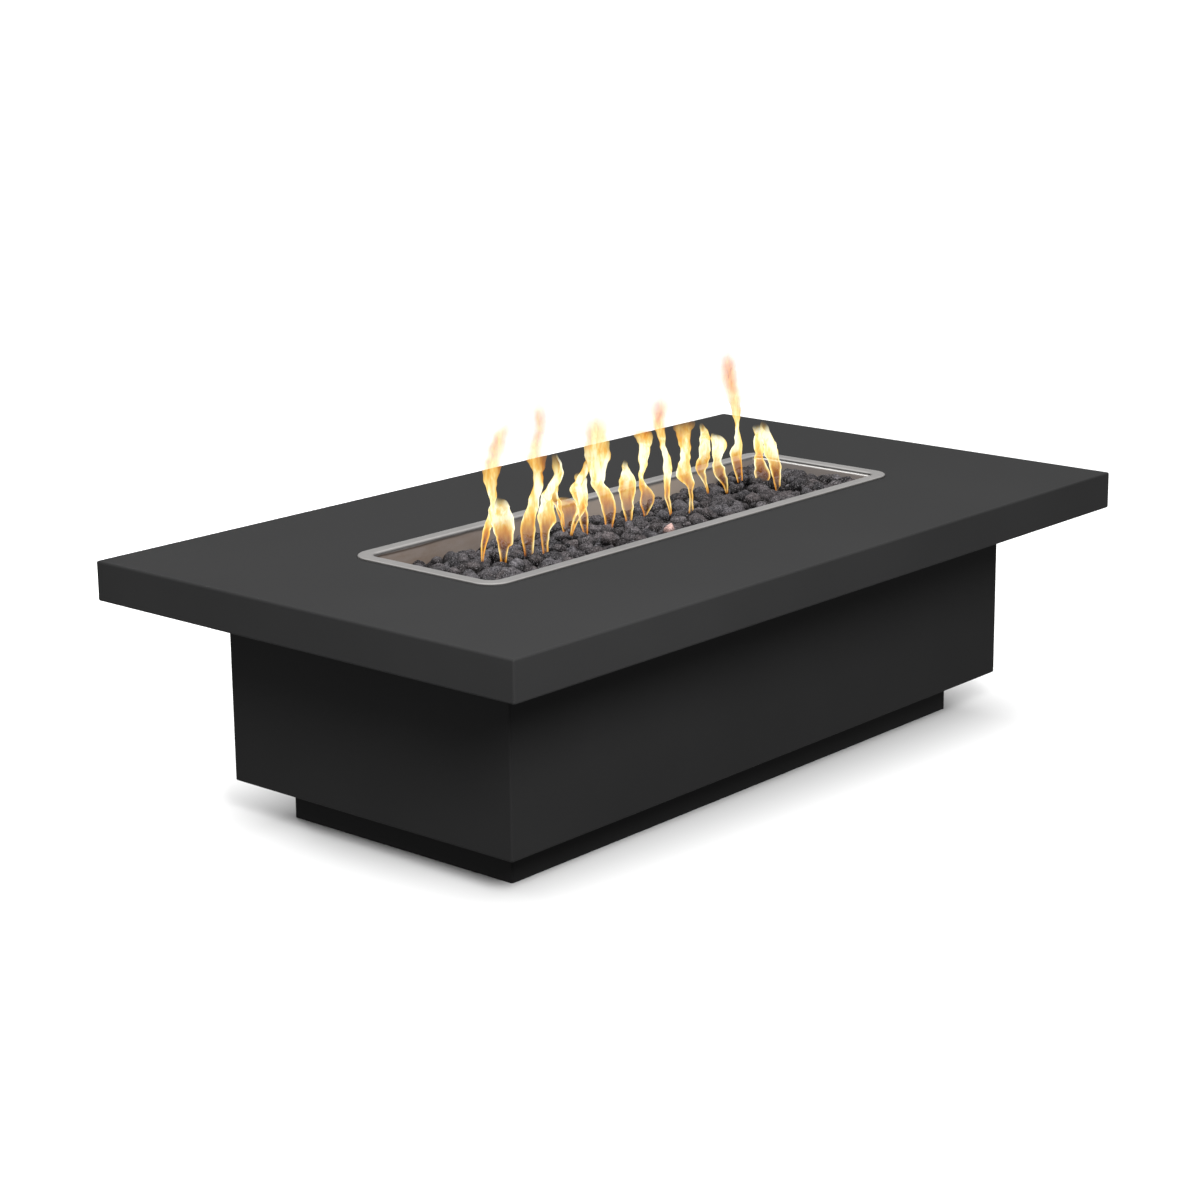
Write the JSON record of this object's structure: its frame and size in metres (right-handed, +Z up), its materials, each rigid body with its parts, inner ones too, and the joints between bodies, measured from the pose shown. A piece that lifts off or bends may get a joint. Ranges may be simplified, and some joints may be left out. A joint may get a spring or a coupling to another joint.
{
  "type": "gas fire pit table",
  "caption": "Low rectangular gas fire pit table: folded black steel top on a recessed-plinth pedestal, with a drop-in stainless burner pan full of lava stones.",
  "frame": {"origin": "on the ground under the middle of the table top", "axes": "+X along the table, +Y towards the back with the access door, +Z up"},
  "size_m": [1.829, 1.041, 0.511],
  "materials": {
    "powder_coat": "satin",
    "galvanised_steel": "matt",
    "stainless": "brushed",
    "black_iron": "matt",
    "brass": "satin",
    "chrome": "polished",
    "black_screws": "satin",
    "seat_plastic": "matt",
    "black_plastic": "matt",
    "magnet": "matt",
    "lava": "rough"
  },
  "bodies": {
    "root": {"table_top": "powder_coat", "pedestal_wrap": "powder_coat", "back_panel": "powder_coat", "plinth": "powder_coat", "vent_left": "powder_coat", "vent_right": "powder_coat", "cross_braces": "galvanised_steel", "long_braces": "galvanised_steel", "end_braces": "galvanised_steel", "corner_posts": "galvanised_steel", "floor_panel": "galvanised_steel", "top_bolts": "galvanised_steel", "plinth_bolts": "galvanised_steel", "burner_pan": "stainless", "burner_tubes": "stainless", "burner_saddles": "stainless", "feed_tube": "stainless", "supply_tube": "stainless", "hinge_frame_leaves": "stainless", "hinge_pins": "stainless", "burner_tee": "black_iron", "burner_end_caps": "black_iron", "feed_nipple": "black_iron", "pan_locknuts": "black_iron", "feed_elbow": "black_iron", "air_mixer": "brass", "flare_nuts": "brass", "valve_body": "brass", "valve_adaptor": "brass", "valve_locknut": "brass", "inlet_fitting": "brass", "inlet_locknut": "brass", "valve_escutcheon": "chrome", "panel_screws": "black_screws", "vent_screws": "black_screws", "hinge_screws": "black_screws", "catch_screws": "black_screws", "valve_seats": "seat_plastic", "catch_body": "black_plastic", "catch_magnet": "magnet", "lava_gravel": "lava", "lava_rocks": "lava"},
    "door": {"access_door": "powder_coat", "hinge_door_leaves": "stainless", "door_pull": "chrome", "door_leaf_screws": "black_screws"},
    "valve_rotor": {"valve_ball": "stainless", "valve_stem": "brass"},
    "key": {"valve_key": "chrome"}
  },
  "joints": [
    {"name": "door_swing", "type": "hinge", "parent": "root", "child": "door", "pos_m": [-0.219, 0.3574, 0.2555], "axis": [0, 0, 1], "range_deg": [0, 110]},
    {"name": "valve_turn", "type": "hinge", "parent": "root", "child": "valve_rotor", "pos_m": [0.33, 0.304, 0.262], "axis": [0, 1, 0], "range_deg": [-90, 0]},
    {"name": "key_pull", "type": "slide", "parent": "valve_rotor", "child": "key", "axis": [0, 1, 0], "range_m": [0, 0.06]}
  ]
}
